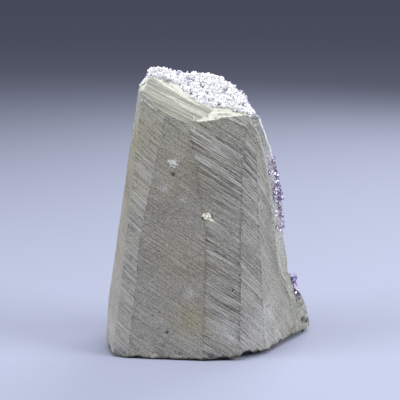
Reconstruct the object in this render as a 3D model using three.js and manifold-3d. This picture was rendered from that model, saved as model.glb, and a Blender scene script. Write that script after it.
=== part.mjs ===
// Amethyst geode piece, free standing on a sawn base.
// Millimetres, +Z up, origin at the middle of the base. The crystals face -Y and the ground back faces +Y.
// From back to front it is four natural growths, one on another: dark basalt, an agate rind,
// massive white quartz, and the druse of amethyst points. Three small mineral nodules sit in the basalt.

import * as THREE from "three";
import { mergeVertices } from "three/addons/utils/BufferGeometryUtils.js";
import Module from "manifold-3d";

const wasm = await Module();
wasm.setup();

// Driving dimensions. An azimuth of 0 faces -Y and 90 faces +X.
const HEIGHT = 150;          // of the block before its top is broken off
const CONTACT_GAP = 0.3;     // between growths that touch, so that no two solids overlap
const ROUGH_WIDTH = 130;     // of the block before it is cut
const ROUGH_CENTRE = -5;     // its middle along X
const WIDE = 400;            // side of the tools that cut the block

// Ground faces of the block: the azimuth that each faces, its lean back from upright in degrees,
// and how far it stands from the origin at the height of the base. Left and right here, and wherever
// nothing else is said, are as seen from behind, facing the ground back.
const GROUND_FACES = [
  { azimuth: 80, lean: 0.5, reach: 45.2 },      // foot of the left flank, nearly upright
  { azimuth: 80, lean: 8.5, reach: 48.6 },      // left flank
  { azimuth: 111.6, lean: 8.2, reach: 50.8 },   // narrow left strip
  { azimuth: 159.5, lean: 6.7, reach: 40.2 },   // left back face, lower half
  { azimuth: 159.5, lean: 8.2, reach: 41.9 },   // and upper half
  { azimuth: 173.6, lean: 5.5, reach: 33.2 },   // wide middle back face
  { azimuth: 182.3, lean: 5.3, reach: 33.6 },   // right middle back face, lower half
  { azimuth: 182.3, lean: 6.9, reach: 35.4 },   // and upper half
  { azimuth: 185, lean: 9.9, reach: 41.4 },     // its upper corner, ground back a little more
  { azimuth: 214.9, lean: 4.2, reach: 38.3 },   // narrow right back face, lower half
  { azimuth: 214.9, lean: 5.2, reach: 39.5 },   // and upper half
  { azimuth: 235.8, lean: 4.4, reach: 40.8 },   // right flank
];

// Local cuts and chips: where each faces and its lean, a point in the middle of its cut face,
// and the width, height and depth of what is taken away there.
const LOCAL_CUTS = [
  { azimuth: 189.7, lean: 39.1, at: [33, 22.5, 121.1], size: [60, 60, 30] },   // chamfer in the agate
  { azimuth: 203, lean: -48, at: [-27, 27.6, 0.9], size: [13, 6, 8] },         // chips along the foot
  { azimuth: 236, lean: -58, at: [-42, 10.6, 0.7], size: [10, 5, 8] },
  { azimuth: 160, lean: -62, at: [27, 31.4, 0.5], size: [19, 4, 8] },
  { azimuth: 262, lean: -50, at: [-57, -10, 2.6], size: [24, 9, 10] },
];

// The broken top falls from its ridge to a lip at the back. Points of x, y and z, from right to left.
const RIDGE = [
  [-40, 26, 108], [-30, 16.5, 118], [-26, 13, 124.5], [-22.5, 7.5, 131], [-16.5, 2, 135.5], [-10, -1.5, 138.2],
  [0, -4, 141.4], [8, -3.5, 141.8], [20, -3, 144], [24.5, 0.5, 142], [31, 4, 134], [45, 6, 116],
];
const LIP = [
  [-40, 36, 104], [-30, 26, 116], [-22.5, 20, 119], [-12, 20, 119.2], [-2, 17.5, 120], [10, 13, 128],
  [17, 10.8, 132.2], [25.5, 7, 138.6], [31, 8, 132], [45, 10, 115],
];
const FRONT_FALL = 0.45;     // of the top in front of the ridge, for each millimetre forward

// Mineral nodules in the basalt: centre on the ground face and half sizes.
const NODULES = [
  { name: "nodule_cream", at: [-3.5, 25.9, 72], half: [2.8, 2.2, 1.9], colour: 0xd9d3bd },
  { name: "nodule_white", at: [13.5, 22.7, 98], half: [1.9, 1.7, 1.7], colour: 0xcfccc0 },
  { name: "nodule_grey", at: [-31.4, 17.2, 76], half: [1.4, 1.6, 1.5], colour: 0xc9cbc4 },
];

// Where the growths meet, as depths along Y.
const BED_FOOT = -20;        // front of the quartz bed in the middle of the base
const BED_LEAN = 0.12;       // how far it leans back for each millimetre of height
const LINING_RIM = 7.5;      // agate and quartz together, at both rims
const LINING_MIDDLE = 24.5;  // and between them near the top
const SLAB_STEP = 8;         // grid of the surfaces between growths
const TOP_STEP = 6;          // grid of the broken top

// Amethyst points.
const CRYSTAL_SPACING = 12.6;
const CRYSTAL_RADIUS = [4.8, 7.4];
const TIP_SLOPE = 51.8;      // between a tip face of quartz and the section of its prism, degrees
const ROOT_PLATE = 3;        // thickness of the grown-together roots
const ROOT_DEPTH = 0.8;      // of each point in that plate
const RIM_OVERHANG = 2.4;    // how far points at the side rims stand proud of the block
const TOP_OVERHANG = 1.2;    // and at the broken top
const SEED = 1847;

const degrees = THREE.MathUtils.degToRad;
const smooth = THREE.MathUtils.smoothstep;

// Seeded random numbers, so that the same crystals grow each time.
function randomSource(seed) {
  let state = seed;
  return () => {
    state = (state * 1664525 + 1013904223) % 4294967296;
    return state / 4294967296;
  };
}

function toSolid(geometry, matrix) {
  const bare = geometry.clone();
  bare.deleteAttribute("normal");
  bare.deleteAttribute("uv");
  if (matrix) {
    bare.applyMatrix4(matrix);
  }
  const merged = mergeVertices(bare, 1e-4);
  return new wasm.Manifold(new wasm.Mesh({
    numProp: 3,
    vertProperties: Float32Array.from(merged.attributes.position.array),
    triVerts: Uint32Array.from(merged.index.array),
  }));
}

function toMesh(name, solid, colour, roughness) {
  const mesh = solid.getMesh();
  const geometry = new THREE.BufferGeometry();
  geometry.setAttribute("position", new THREE.BufferAttribute(mesh.vertProperties, 3));
  geometry.setIndex(new THREE.BufferAttribute(mesh.triVerts, 1));
  geometry.computeVertexNormals();
  const material = new THREE.MeshStandardMaterial({ color: colour, roughness, metalness: 0, flatShading: true });
  const part = new THREE.Mesh(geometry, material);
  part.name = name;
  return part;
}

function facing(azimuth, lean) {
  const a = degrees(azimuth);
  const l = degrees(lean);
  return new THREE.Vector3(Math.sin(a) * Math.cos(l), -Math.cos(a) * Math.cos(l), Math.sin(l));
}

// A large block whose inner face lies on the plane through the point, square to the normal.
function cutter(normal, point) {
  const matrix = new THREE.Matrix4().lookAt(normal, new THREE.Vector3(), new THREE.Vector3(0.01, 0.02, 1));
  matrix.setPosition(point.clone().addScaledVector(normal, WIDE / 2));
  return toSolid(new THREE.BoxGeometry(WIDE, WIDE, WIDE), matrix);
}

// Depth and height of a line of points at x, straight between one point and the next.
function along(line, x) {
  const next = Math.max(1, line.findIndex((point) => point[0] >= x));
  const [from, to] = [line[next - 1], line[next]];
  const share = THREE.MathUtils.clamp((x - from[0]) / (to[0] - from[0]), 0, 1);
  return { y: THREE.MathUtils.lerp(from[1], to[1], share), z: THREE.MathUtils.lerp(from[2], to[2], share) };
}

function topHeight(x, y) {
  const inside = THREE.MathUtils.clamp(x, RIDGE[0][0], RIDGE.at(-1)[0]);
  const ridge = along(RIDGE, inside);
  const lip = along(LIP, inside);
  if (y < ridge.y) {
    return ridge.z - FRONT_FALL * (ridge.y - y);
  }
  return ridge.z + (lip.z - ridge.z) * (y - ridge.y) / (lip.y - ridge.y);
}

// Everything above the broken top: a divided block with its underside moved onto it.
function aboveTop(proud) {
  const steps = Math.round(ROUGH_WIDTH / TOP_STEP);
  const geometry = new THREE.BoxGeometry(ROUGH_WIDTH, ROUGH_WIDTH, 2, steps, steps, 1);
  const position = geometry.attributes.position;
  for (let i = 0; i < position.count; i += 1) {
    const x = position.getX(i) + ROUGH_CENTRE;
    const y = position.getY(i);
    const z = position.getZ(i) > 0 ? 2 * HEIGHT : topHeight(x, y) + proud;
    position.setXYZ(i, x, y, z);
  }
  return toSolid(geometry);
}

// The ground and broken block, with its sides and its top moved out by the amounts given.
function stoneBlock(sideProud, topProud) {
  const place = new THREE.Matrix4().makeTranslation(ROUGH_CENTRE, 0, HEIGHT / 2);
  let block = toSolid(new THREE.BoxGeometry(ROUGH_WIDTH, ROUGH_WIDTH, HEIGHT), place);
  for (const face of GROUND_FACES) {
    const normal = facing(face.azimuth, face.lean);
    const foot = facing(face.azimuth, 0).multiplyScalar(face.reach).addScaledVector(normal, sideProud);
    block = block.subtract(cutter(normal, foot));
  }
  return block.subtract(aboveTop(topProud));
}

// A block whose inner face is centred on the point, square to the direction that the cut faces.
function localCut({ azimuth, lean, at, size }) {
  const normal = facing(azimuth, lean);
  const matrix = new THREE.Matrix4().lookAt(normal, new THREE.Vector3(), new THREE.Vector3(0, 0, 1));
  matrix.setPosition(new THREE.Vector3(...at).addScaledVector(normal, size[2] / 2));
  return toSolid(new THREE.BoxGeometry(...size), matrix);
}

// Place across the bed at a height: -1 at the right rim, +1 at the left rim.
function across(x, z) {
  const rightRim = -57 + 9 * smooth(z, 8, 42) + 0.16 * z;
  const leftRim = 47.5 - 0.13 * Math.max(0, z - 22);
  return (2 * x - leftRim - rightRim) / (leftRim - rightRim);
}

// Front of the quartz bed: it leans back, dips in the middle, and rolls back at both rims.
function bedFront(x, z) {
  const s = across(x, z);
  const edge = Math.min(Math.abs(s), 1.15);
  const waist = 8.5 * smooth(z, 8, 46) - 4 * smooth(z, 58, 86) + 10.5 * smooth(z, 98, 124);
  const roll = (s < 0 ? 6 + waist : 8) * edge ** 3;
  const dip = 3 * (1 - smooth(Math.abs(s), 0, 0.55)) * smooth(z, 10, 50) * (1 - smooth(z, 95, 135));
  const swell = 1.4 * Math.sin(x / 11 + z / 19) + 1.1 * Math.sin(z / 13 - x / 23);
  return BED_FOOT + BED_LEAN * z + roll + dip + swell * (1 - 0.8 * edge);
}

// Thickness of agate and quartz together: thin at both rims, swelling between them and towards the top.
function liningThickness(x, z) {
  const s = THREE.MathUtils.clamp(across(x, z), -1, 1);
  const swell = (1 - Math.abs(s) ** 3) * (1 - 0.1 * s) * (0.62 + 0.38 * smooth(z, 80, 122));
  const wave = 0.4 * Math.sin(x / 9 + 0.4) + 0.4 * Math.sin(z / 10 - x / 12);
  return LINING_RIM + (LINING_MIDDLE - LINING_RIM) * swell + wave;
}

// Back of the agate, where it lined the hollow in the basalt.
function basaltFront(x, z) {
  return bedFront(x, z) + liningThickness(x, z);
}

// Back of the quartz, where it grew from the agate; the agate is thickest at the left.
function agateFront(x, z) {
  const wave = 0.03 * Math.sin(x / 5 + 1.3) + 0.03 * Math.sin(z / 6 + x / 15);
  const quartzShare = THREE.MathUtils.clamp(0.52 - 0.55 * across(x, z), 0.33, 0.72) + wave;
  return bedFront(x, z) + quartzShare * liningThickness(x, z);
}

// Everything in front of a surface of varying depth: a divided block with its back face moved onto it.
function inFrontOf(depth) {
  const height = HEIGHT + 20;
  const columns = Math.round(ROUGH_WIDTH / SLAB_STEP);
  const rows = Math.round(height / SLAB_STEP);
  const geometry = new THREE.BoxGeometry(ROUGH_WIDTH, 2, height, columns, 1, rows);
  const position = geometry.attributes.position;
  for (let i = 0; i < position.count; i += 1) {
    const x = position.getX(i) + ROUGH_CENTRE;
    const z = position.getZ(i) + HEIGHT / 2;
    const y = position.getY(i) < 0 ? -ROUGH_WIDTH : depth(x, z);
    position.setXYZ(i, x, y, z);
  }
  return toSolid(geometry);
}

function turned(at, size, turn) {
  const angles = new THREE.Euler(...turn.map(degrees));
  const matrix = new THREE.Matrix4().makeRotationFromEuler(angles);
  matrix.scale(new THREE.Vector3(...size));
  matrix.setPosition(...at);
  return matrix;
}

function nodule({ at, half }, extra) {
  const size = half.map((value) => value + extra);
  return toSolid(new THREE.IcosahedronGeometry(1, 1), turned(at, size, [12, 20, 30]));
}

// One six-sided quartz point that stands along +Y of the geometry, rooted below its origin.
function quartzPoint(radius, prism, root) {
  const tip = radius * Math.cos(Math.PI / 6) * Math.tan(degrees(TIP_SLOPE));
  const profile = [
    new THREE.Vector2(0, -root),
    new THREE.Vector2(radius * 0.86, -root),
    new THREE.Vector2(radius, prism),
    new THREE.Vector2(0, prism + tip),
  ];
  return new THREE.LatheGeometry(profile, 6);
}

function standing(at, direction, spin) {
  const up = new THREE.Vector3(0, 1, 0);
  const turn = new THREE.Quaternion().setFromUnitVectors(up, direction);
  const twist = new THREE.Quaternion().setFromAxisAngle(up, spin);
  return new THREE.Matrix4().compose(at, turn.multiply(twist), new THREE.Vector3(1, 1, 1));
}

function bedNormal(x, z) {
  const step = 1;
  const slopeX = (bedFront(x + step, z) - bedFront(x - step, z)) / (2 * step);
  const slopeZ = (bedFront(x, z + step) - bedFront(x, z - step)) / (2 * step);
  return new THREE.Vector3(slopeX, -1, slopeZ).normalize();
}

// The isolated cluster on the flared foot of the right rim: three points that fan out sideways.
const FOOT_POINTS = [
  { at: [-46.7, -6.5, 28], towards: [-1, -0.45, 0.35], radius: 3.6, prism: 3 },
  { at: [-46.2, -8.5, 24], towards: [-0.7, -0.9, 0.1], radius: 2.6, prism: 2 },
  { at: [-44.7, -7, 33], towards: [-0.6, -0.8, 0.7], radius: 2.4, prism: 2 },
];
const FOOT_CLEARING = 8;     // no other point roots this close to the cluster

function footCluster(extra) {
  const points = FOOT_POINTS.map(({ at, towards, radius, prism }) => {
    const direction = new THREE.Vector3(...towards).normalize();
    const geometry = quartzPoint(radius + extra, prism + extra / 2, 5);
    return toSolid(geometry, standing(new THREE.Vector3(...at), direction, 0.4));
  });
  return wasm.Manifold.union(points);
}

// Points over the whole bed on a jittered triangular grid, larger towards the middle.
function bedPoints() {
  const random = randomSource(SEED);
  const footCentre = new THREE.Vector3(...FOOT_POINTS[0].at);
  const points = [];
  const rowStep = CRYSTAL_SPACING * Math.sin(Math.PI / 3);
  for (let row = 0; row * rowStep < HEIGHT; row += 1) {
    for (let column = -7; column <= 6; column += 1) {
      const x = (column + (row % 2) / 2 + 0.45 * (random() - 0.5)) * CRYSTAL_SPACING;
      const z = (row + 0.5 + 0.45 * (random() - 0.5)) * rowStep;
      const share = random();
      const tilt = [random() - 0.5, random() - 0.5, random() - 0.5];
      const spin = random() * Math.PI;
      const at = new THREE.Vector3(x, bedFront(x, z) - ROOT_PLATE, z);
      const s = Math.abs(across(x, z));
      if (s > 1 || at.distanceTo(footCentre) < FOOT_CLEARING) {
        continue;
      }
      const size = THREE.MathUtils.lerp(...CRYSTAL_RADIUS, share * (1 - 0.5 * s ** 4));
      const direction = bedNormal(x, z).addScaledVector(new THREE.Vector3(...tilt), 0.5).normalize();
      points.push(toSolid(quartzPoint(size, 0.5 + 2 * share, ROOT_DEPTH), standing(at, direction, spin)));
    }
  }
  return wasm.Manifold.union(points);
}

// Slivers cut loose at the rim fall away.
function largestBody(solid) {
  return solid.decompose().reduce((best, body) => (body.volume() > best.volume() ? body : best));
}

function buildGeode() {
  const gap = CONTACT_GAP / 2;
  const block = LOCAL_CUTS.reduce((solid, spec) => solid.subtract(localCut(spec)), stoneBlock(0, 0));
  const behind = (depth) => inFrontOf((x, z) => depth(x, z) + gap);
  const before = (depth) => inFrontOf((x, z) => depth(x, z) - gap);

  const sockets = wasm.Manifold.union(NODULES.map((spec) => nodule(spec, CONTACT_GAP)));
  const basalt = block.subtract(behind(basaltFront)).subtract(sockets);
  const agate = block.intersect(before(basaltFront)).subtract(behind(agateFront));
  const quartz = block.intersect(before(agateFront)).subtract(behind(bedFront));

  const beforeBed = before(bedFront);
  const beforeRoots = inFrontOf((x, z) => bedFront(x, z) - gap - ROOT_PLATE);
  const rootPlate = block.intersect(beforeBed).subtract(beforeRoots);
  const cluster = footCluster(0).intersect(beforeBed);
  const druse = largestBody(bedPoints()
    .intersect(beforeBed)
    .intersect(stoneBlock(RIM_OVERHANG, TOP_OVERHANG))
    .add(rootPlate)
    .subtract(footCluster(CONTACT_GAP)));

  const geode = new THREE.Group();
  geode.add(toMesh("basalt_matrix", basalt, 0x87847d, 0.85));
  geode.add(toMesh("agate_rind", agate, 0xb9bcae, 0.45));
  geode.add(toMesh("quartz_bed", quartz, 0xe9eae8, 0.5));
  geode.add(toMesh("amethyst_druse", druse, 0x7a5fa8, 0.1));
  geode.add(toMesh("foot_crystals", cluster, 0x7a5fa8, 0.1));
  for (const spec of NODULES) {
    geode.add(toMesh(spec.name, nodule(spec, 0).intersect(block), spec.colour, 0.6));
  }
  const middle = new THREE.Box3().setFromObject(geode).getCenter(new THREE.Vector3());
  geode.position.set(-middle.x, -middle.y, 0);
  return geode;
}

export default buildGeode();
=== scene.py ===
"""The looks of a free-standing amethyst geode piece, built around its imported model."""

import math
import random

import bmesh
import bpy
import numpy as np
from mathutils import Matrix, Vector
from mathutils.bvhtree import BVHTree


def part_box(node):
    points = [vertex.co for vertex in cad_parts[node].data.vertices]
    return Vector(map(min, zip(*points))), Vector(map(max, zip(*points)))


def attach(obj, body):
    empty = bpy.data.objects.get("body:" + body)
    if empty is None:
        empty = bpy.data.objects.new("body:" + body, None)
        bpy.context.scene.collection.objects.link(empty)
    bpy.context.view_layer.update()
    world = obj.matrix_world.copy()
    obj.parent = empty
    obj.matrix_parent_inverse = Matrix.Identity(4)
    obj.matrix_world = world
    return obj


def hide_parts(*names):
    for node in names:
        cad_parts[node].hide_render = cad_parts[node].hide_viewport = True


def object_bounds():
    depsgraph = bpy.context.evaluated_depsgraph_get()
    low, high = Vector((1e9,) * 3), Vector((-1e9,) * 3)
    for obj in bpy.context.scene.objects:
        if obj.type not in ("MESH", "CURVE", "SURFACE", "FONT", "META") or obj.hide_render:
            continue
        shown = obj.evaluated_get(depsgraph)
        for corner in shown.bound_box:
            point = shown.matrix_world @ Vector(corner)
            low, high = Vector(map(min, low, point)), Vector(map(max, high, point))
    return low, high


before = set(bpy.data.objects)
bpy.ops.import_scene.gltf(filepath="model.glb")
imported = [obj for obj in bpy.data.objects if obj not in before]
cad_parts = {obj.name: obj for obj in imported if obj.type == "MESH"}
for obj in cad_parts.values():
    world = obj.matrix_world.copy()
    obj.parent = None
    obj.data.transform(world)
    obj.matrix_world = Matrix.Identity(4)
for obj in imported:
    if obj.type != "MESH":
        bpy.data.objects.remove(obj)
cad_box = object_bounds()

# ----------------------------------------------------------------------
# Basalt matrix: the grey volcanic rock that held the cavity. It was sawn off at the base and ground to
# upright flats on a coarse wheel, one broad pass beside another. The wheel left slanting parallel marks,
# stone dust in the low places and worn, slightly stepped edges; the foot is chipped. The colour of the
# marks is partly painted shade and highlight on their grooves.
# ----------------------------------------------------------------------
MM = 0.001
BASALT_GRAIN = 0.48 * MM  # edge of the fine mesh
BASALT_SHARE = 0.70  # of its faces kept once what is hidden is thinned
LEAST_FLAT = 150  # square mm of a face that the wheel made
STEEPEST = 0.7  # rise of its normal at most
SAME_WAY = 0.9998  # cosine between two faces of one flat
SAME_PLANE = 0.12  # mm between their planes
FLAT_REACH = 0.75  # mm from a flat, within which a point lies on it
BASE_SKIN = 0.2  # mm above the ground that belong to the sawn base
HIDDEN_GAP = 0.7  # mm to the next growth, where a face can't be seen
SEAL = 0.25  # mm that hidden faces are moved out, so that no gap shows between growths

# Marks of the wheel on each flat, by the azimuth it faces (0 is -Y, 90 is +X): how steeply they fall
# towards the right as seen from outside in degrees, how deep they are and how far apart in mm, how much
# lighter or darker the flat is painted (partly pale dust in its marks, partly painted light for the way it
# faces the lights), and how much darker it is painted along its edges.
WHEEL_MARKS = {
    80: (42, 0.06, 1.7, 0.16, 0.0),
    112: (42, 0.06, 1.7, 0.14, 0.0),
    160: (38, 0.15, 1.3, 0.20, 0.2),
    174: (32, 0.06, 1.2, -0.01, 0.7),
    182: (32, 0.17, 1.1, 0.0, 1.0),
    185: (32, 0.05, 1.5, -0.06, 0.3),
    190: (33, 0.26, 1.25, 0.0, 0.0),
    215: (44, 0.17, 0.95, 0.07, 0.7),
    236: (52, 0.07, 1.6, 0.10, 0.0),
}
USUAL_DEPTH = 0.16  # mm of a mark that counts as strength 1
FINE_SHARE = 0.4  # of the depth that is in finer marks between the others
FINE_SPACING = 0.55  # of the spacing, between the finer marks
MARK_SHARPNESS = 1.6
PATCH_SIZE = (9.0, 27.0)  # mm across and along the marks, over which their strength changes
STRENGTHS = (0.3, 1.2, 1.5)  # of the marks everywhere, in the strongest patch and on the coarse pass
COARSE_PASS = (-12, 24, 104.5)  # a place on the pass that left the deepest marks
COARSE_REACH = 6.5  # mm to either side of it
PASS_WIDTH = 8.5  # mm across the marks that the wheel took at a time
PASS_STEP = 0.28  # mm between the depths of two passes
PASS_DRIFT = 0.04  # mm that a pass shifts sideways in each mm along it
PASS_SHARPNESS = 6
EDGE_DARKENING = 0.7  # mm from an edge between two flats, over which a flat is painted darker

# The worn lower edge. It stands off the ground and leaves a dark gap under the stone; its lip is painted with
# the shade that falls under the stone.
FOOT_GAP = (1.2, 2.2)  # mm high towards +X and towards -X
FOOT_GAP_FROM = (5, -25)  # mm along X, where it changes from one to the other
FOOT_GAP_DEPTH = 6.0  # mm that it goes in under the stone
FOOT_ARCH = 0.35  # power of its round roof
FOOT_CHIPS = [((-17.5, 28.5, 0), 6, 3.2), ((52, 13, 0), 10, 4.2), ((-36, 8, 0), 4, 2)]

# Places on the stone that are pitted, stained, scuffed, broken rough or warmer in colour, with their
# reach, in mm.
PITS = [((18.6, 21.3, 92.4), 1.3), ((21.8, 28.6, 13.8), 1.2), ((-50.5, -12.3, 6.9), 2),
        ((-52.6, -15.2, 5.6), 1.1), ((-19.5, 25, 42), 0.9), ((-11, 27.5, 35.5), 0.8),
        ((30.5, 22, 61), 0.7)]
OCHRE_STAINS = [((11.8, 28.6, 20.5), 13), ((8, 26.5, 50), 11), ((22, 22, 84), 8),
                ((-1, 29, 30), 7)]
SCUFFS = [((18.1, 20.8, 98.3), 3.6), ((10.3, 27.9, 34.3), 3.2), ((-24.4, 16.6, 76.8), 2.6),
          ((1.9, 24.8, 73.1), 2.2), ((-1.6, 25.6, 70), 2.2), ((14, 24, 80), 3),
          ((22.5, 21.5, 86), 3), ((-10, 30, 12), 5), ((-24, 22, 11), 15),
          ((-29, 18, 20), 13), ((-36, 13, 8), 10), ((-8, 30, 16), 9),
          ((46, 16, 12), 9)]
BROKEN_SKIN = [((-50, -12, 6), 8), ((-47.5, -9, 17), 7), ((-44, -2, 3), 6),
               ((-54, -20, 8), 8), ((46, 12, 1), 4.5)]
WARM_PLACES = [((14, 24, 92), 30), ((14, 28, 55), 30), ((10, 29, 22), 16),
               ((35, 12, 110), 24), ((38, 8, 85), 26), ((41, 8, 58), 22),
               ((8, 22, 112), 16)]
PIT_DEPTH = 1.1  # mm
VESICLE_DEPTH = 0.35
GRIT = 0.06
NIBBLE_DEPTH = 0.8  # mm bitten out of the lower edge here and there
NIBBLED_BELOW = (0.8, 5.0)  # mm, heights over which that ends
PAINTED_LIGHT_BELOW = (0, 95)  # mm, heights over which the basalt's painted light goes from lighter low down to darker higher up
GREEN_REACH = (1.0, 7.0)  # mm from the agate, where the basalt turns green

DARK_BASALT = (0.108, 0.099, 0.083, 1)
LIGHT_BASALT = (0.435, 0.425, 0.39, 1)
WARM_TINT = (1.0, 0.965, 0.80, 1)
OCHRE_TINT = (1.0, 0.87, 0.78, 1)
GREEN_TINT = (0.96, 1.0, 0.88, 1)
STONE_DUST = (0.62, 0.62, 0.60, 1)
BROKEN_BASALT = (0.25, 0.26, 0.215, 1)
# Near-black painted shade, in the pits and vesicles and on the lip under the worn foot.
PAINTED_SHADE = (0.035, 0.033, 0.03, 1)
# How far each of these goes over the colour of the stone where it is strongest.
OCHRE_SHARE, SCUFF_SHARE, GREEN_SHARE, BROKEN_SHARE, PAINTED_SHADE_SHARE = 0.28, 0.72, 0.3, 0.8, 0.7


def merged_copy(node):
    """A CAD node's mesh with its loose triangles joined."""
    shape = bmesh.new()
    shape.from_mesh(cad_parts[node].data)
    bmesh.ops.remove_doubles(shape, verts=shape.verts, dist=0.001 * MM)
    return shape


def new_piece(name, shape):
    mesh = bpy.data.meshes.new(name)
    shape.to_mesh(mesh)
    shape.free()
    piece = bpy.data.objects.new(name, mesh)
    bpy.context.scene.collection.objects.link(piece)
    return piece


def settle(piece):
    """Applies the piece's modifiers to its mesh."""
    graph = bpy.context.evaluated_depsgraph_get()
    mesh = bpy.data.meshes.new_from_object(piece.evaluated_get(graph), depsgraph=graph)
    piece.modifiers.clear()
    piece.data = mesh
    mesh.name = piece.name


def remesh(piece, grain, smooth=False):
    """Gives the piece one closed mesh with edges as long as the grain."""
    fine = piece.modifiers.new("fine", "REMESH")
    fine.mode = "VOXEL"
    fine.voxel_size = grain
    fine.use_smooth_shade = smooth
    settle(piece)


def read_rows(items, key):
    """One vector of each point or face."""
    flat = np.empty(len(items) * 3, np.float32)
    items.foreach_get(key, flat)
    return flat.reshape(-1, 3).astype(float)


def read_points(mesh):
    """The mesh's points in mm."""
    return read_rows(mesh.vertices, "co") / MM


def write_points(mesh, points):
    mesh.vertices.foreach_set("co", (points * MM).astype(np.float32).ravel())
    mesh.update()


def paint(mesh, name, values, kind="FLOAT", domain="POINT"):
    """Keeps a value, or a vector, at each point or face for the material to read."""
    made = mesh.attributes.new(name, kind, domain)
    made.data.foreach_set("value" if kind == "FLOAT" else "vector", np.asarray(values, np.float32).ravel())


def smooth(share):
    return share * share * (3 - 2 * share)


def fade(value, start, end):
    return smooth(np.clip((value - start) / (end - start), 0, 1))


def cloud(points, size, seed):
    """Soft random values from 0 to 1 that change over about that many mm."""
    lattice = np.random.default_rng(seed).random((32, 32, 32))
    at = points / size
    low = np.floor(at).astype(int)
    share = smooth(at - low)
    total = np.zeros(len(points))
    for corner in np.ndindex(2, 2, 2):
        weight = np.prod(np.where(corner, share, 1 - share), axis=1)
        total += weight * lattice[tuple(((low + corner) % 32).T)]
    return total


def lines(place, spacing, seed, sharp=1.0):
    """Random heights from 0 to 1 along one direction; a large sharp makes steps of them."""
    knots = np.random.default_rng(seed).random(1024)
    at = place / spacing
    low = np.floor(at).astype(int)
    share = smooth(np.clip((at - low - 0.5) * sharp + 0.5, 0, 1))
    return knots[low % 1024] * (1 - share) + knots[(low + 1) % 1024] * share


def near(points, places):
    """From 0 far from all the places to 1 in the middle of one."""
    total = np.zeros(len(points))
    for place, reach in places:
        away = np.linalg.norm(points - place, axis=1) / reach
        total = np.maximum(total, np.exp(-2.5 * away ** 2))
    return total


def tree_of(node):
    shape = merged_copy(node)
    tree = BVHTree.FromBMesh(shape)
    shape.free()
    return tree


def gap_to(points, tree):
    """Distance in mm from each point to the surface in the tree."""
    return np.array([tree.find_nearest(Vector(point) * MM)[3] for point in points]) / MM


def azimuth_of(flat):
    return math.degrees(math.atan2(flat["normal"][0], -flat["normal"][1])) % 360


def sideways(normal):
    """The level direction along a flat, to the right as seen from outside."""
    right = np.cross((0, 0, 1), normal)
    return right / np.linalg.norm(right)


def wheel_flats(node):
    """The flats that the wheel made on a CAD node, each with its plane and the directions of its marks."""
    flats = []
    for face in sorted(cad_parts[node].data.polygons, key=lambda face: -face.area):
        normal = np.array(face.normal)
        offset = normal @ np.array(face.center) / MM
        area = face.area / MM ** 2
        same = [flat for flat in flats
                if flat["normal"] @ normal > SAME_WAY and abs(flat["offset"] - offset) < SAME_PLANE]
        if same:
            same[0]["area"] += area
        else:
            flats.append({"normal": normal, "offset": offset, "area": area})
    flats = [flat for flat in flats if flat["area"] > LEAST_FLAT and abs(flat["normal"][2]) < STEEPEST]
    for number, flat in enumerate(flats):
        known = min(WHEEL_MARKS, key=lambda azimuth: abs(azimuth - azimuth_of(flat)))
        fall, depth, spacing, tone, dirt = WHEEL_MARKS[known]
        right = sideways(flat["normal"])
        up = np.cross(flat["normal"], right)
        along = math.cos(math.radians(fall)) * right - math.sin(math.radians(fall)) * up
        flat.update(along=along, across=np.cross(flat["normal"], along), depth=depth, spacing=spacing,
                    tone=tone, dirt=dirt, seed=11 * number)
    return flats


def off_flats(points, flats):
    """How far in mm each point lies outside each flat."""
    return np.stack([points @ flat["normal"] - flat["offset"] for flat in flats], axis=1)


def mark_strength(points, flat):
    """How strong the wheel's marks are at each point of a flat, 1 on the whole."""
    run = points @ flat["across"]
    strip = points @ flat["along"]
    spots = np.stack([run / PATCH_SIZE[0], strip / PATCH_SIZE[1], 0 * run], axis=1)
    coarse = np.exp(-((run - flat["across"] @ np.array(COARSE_PASS)) / COARSE_REACH) ** 2)
    return STRENGTHS[0] + STRENGTHS[1] * cloud(spots, 1.0, flat["seed"] + 2) + STRENGTHS[2] * coarse


def mark_depth(points, flat):
    """How deep the wheel cut at each point of a flat, in mm."""
    run = points @ flat["across"]
    strip = points @ flat["along"]
    seed = flat["seed"]
    marks = (1 - FINE_SHARE) * lines(run, flat["spacing"], seed, MARK_SHARPNESS)
    marks += FINE_SHARE * lines(run, FINE_SPACING * flat["spacing"], seed + 1)
    steps = PASS_STEP * lines(run + PASS_DRIFT * strip, PASS_WIDTH, seed + 3, PASS_SHARPNESS)
    return flat["depth"] * marks * mark_strength(points, flat) + steps


def fine_stone(name, node, grain, next_trees, share):
    """A fine closed mesh of a CAD node, thinned where the next growths or the base hide it."""
    piece = new_piece(name, merged_copy(node))
    remesh(piece, grain, smooth=True)
    points = read_points(piece.data)
    touching = np.min([gap_to(points, tree) for tree in next_trees], axis=0) < HIDDEN_GAP
    points += read_rows(piece.data.vertex_normals, "vector") * (SEAL * touching)[:, None]
    points[:, 2] = np.maximum(points[:, 2], 0)
    write_points(piece.data, points)
    hidden = touching | (points[:, 2] < BASE_SKIN)
    group = piece.vertex_groups.new(name="hidden")
    group.add([int(i) for i in np.flatnonzero(hidden)], 1.0, "REPLACE")
    thin = piece.modifiers.new("thin", "DECIMATE")
    thin.ratio = share
    thin.vertex_group = group.name
    settle(piece)
    piece.vertex_groups.clear()
    return piece


def grind(points, on_flat, flats):
    """Points of the flats moved onto the marked faces; where two meet, they meet in a stepped edge."""
    marked = points.copy()
    for flat in flats:
        flat["cut"] = mark_depth(points, flat)
    normals = np.stack([flat["normal"] for flat in flats])
    cuts = np.stack([flat["cut"] for flat in flats], axis=1)
    for _ in range(3):
        reach = off_flats(marked, flats) + cuts
        most = reach.argmax(axis=1)
        move = np.where(on_flat, reach[np.arange(len(marked)), most], 0)
        marked -= move[:, None] * normals[most]
    return marked


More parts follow.
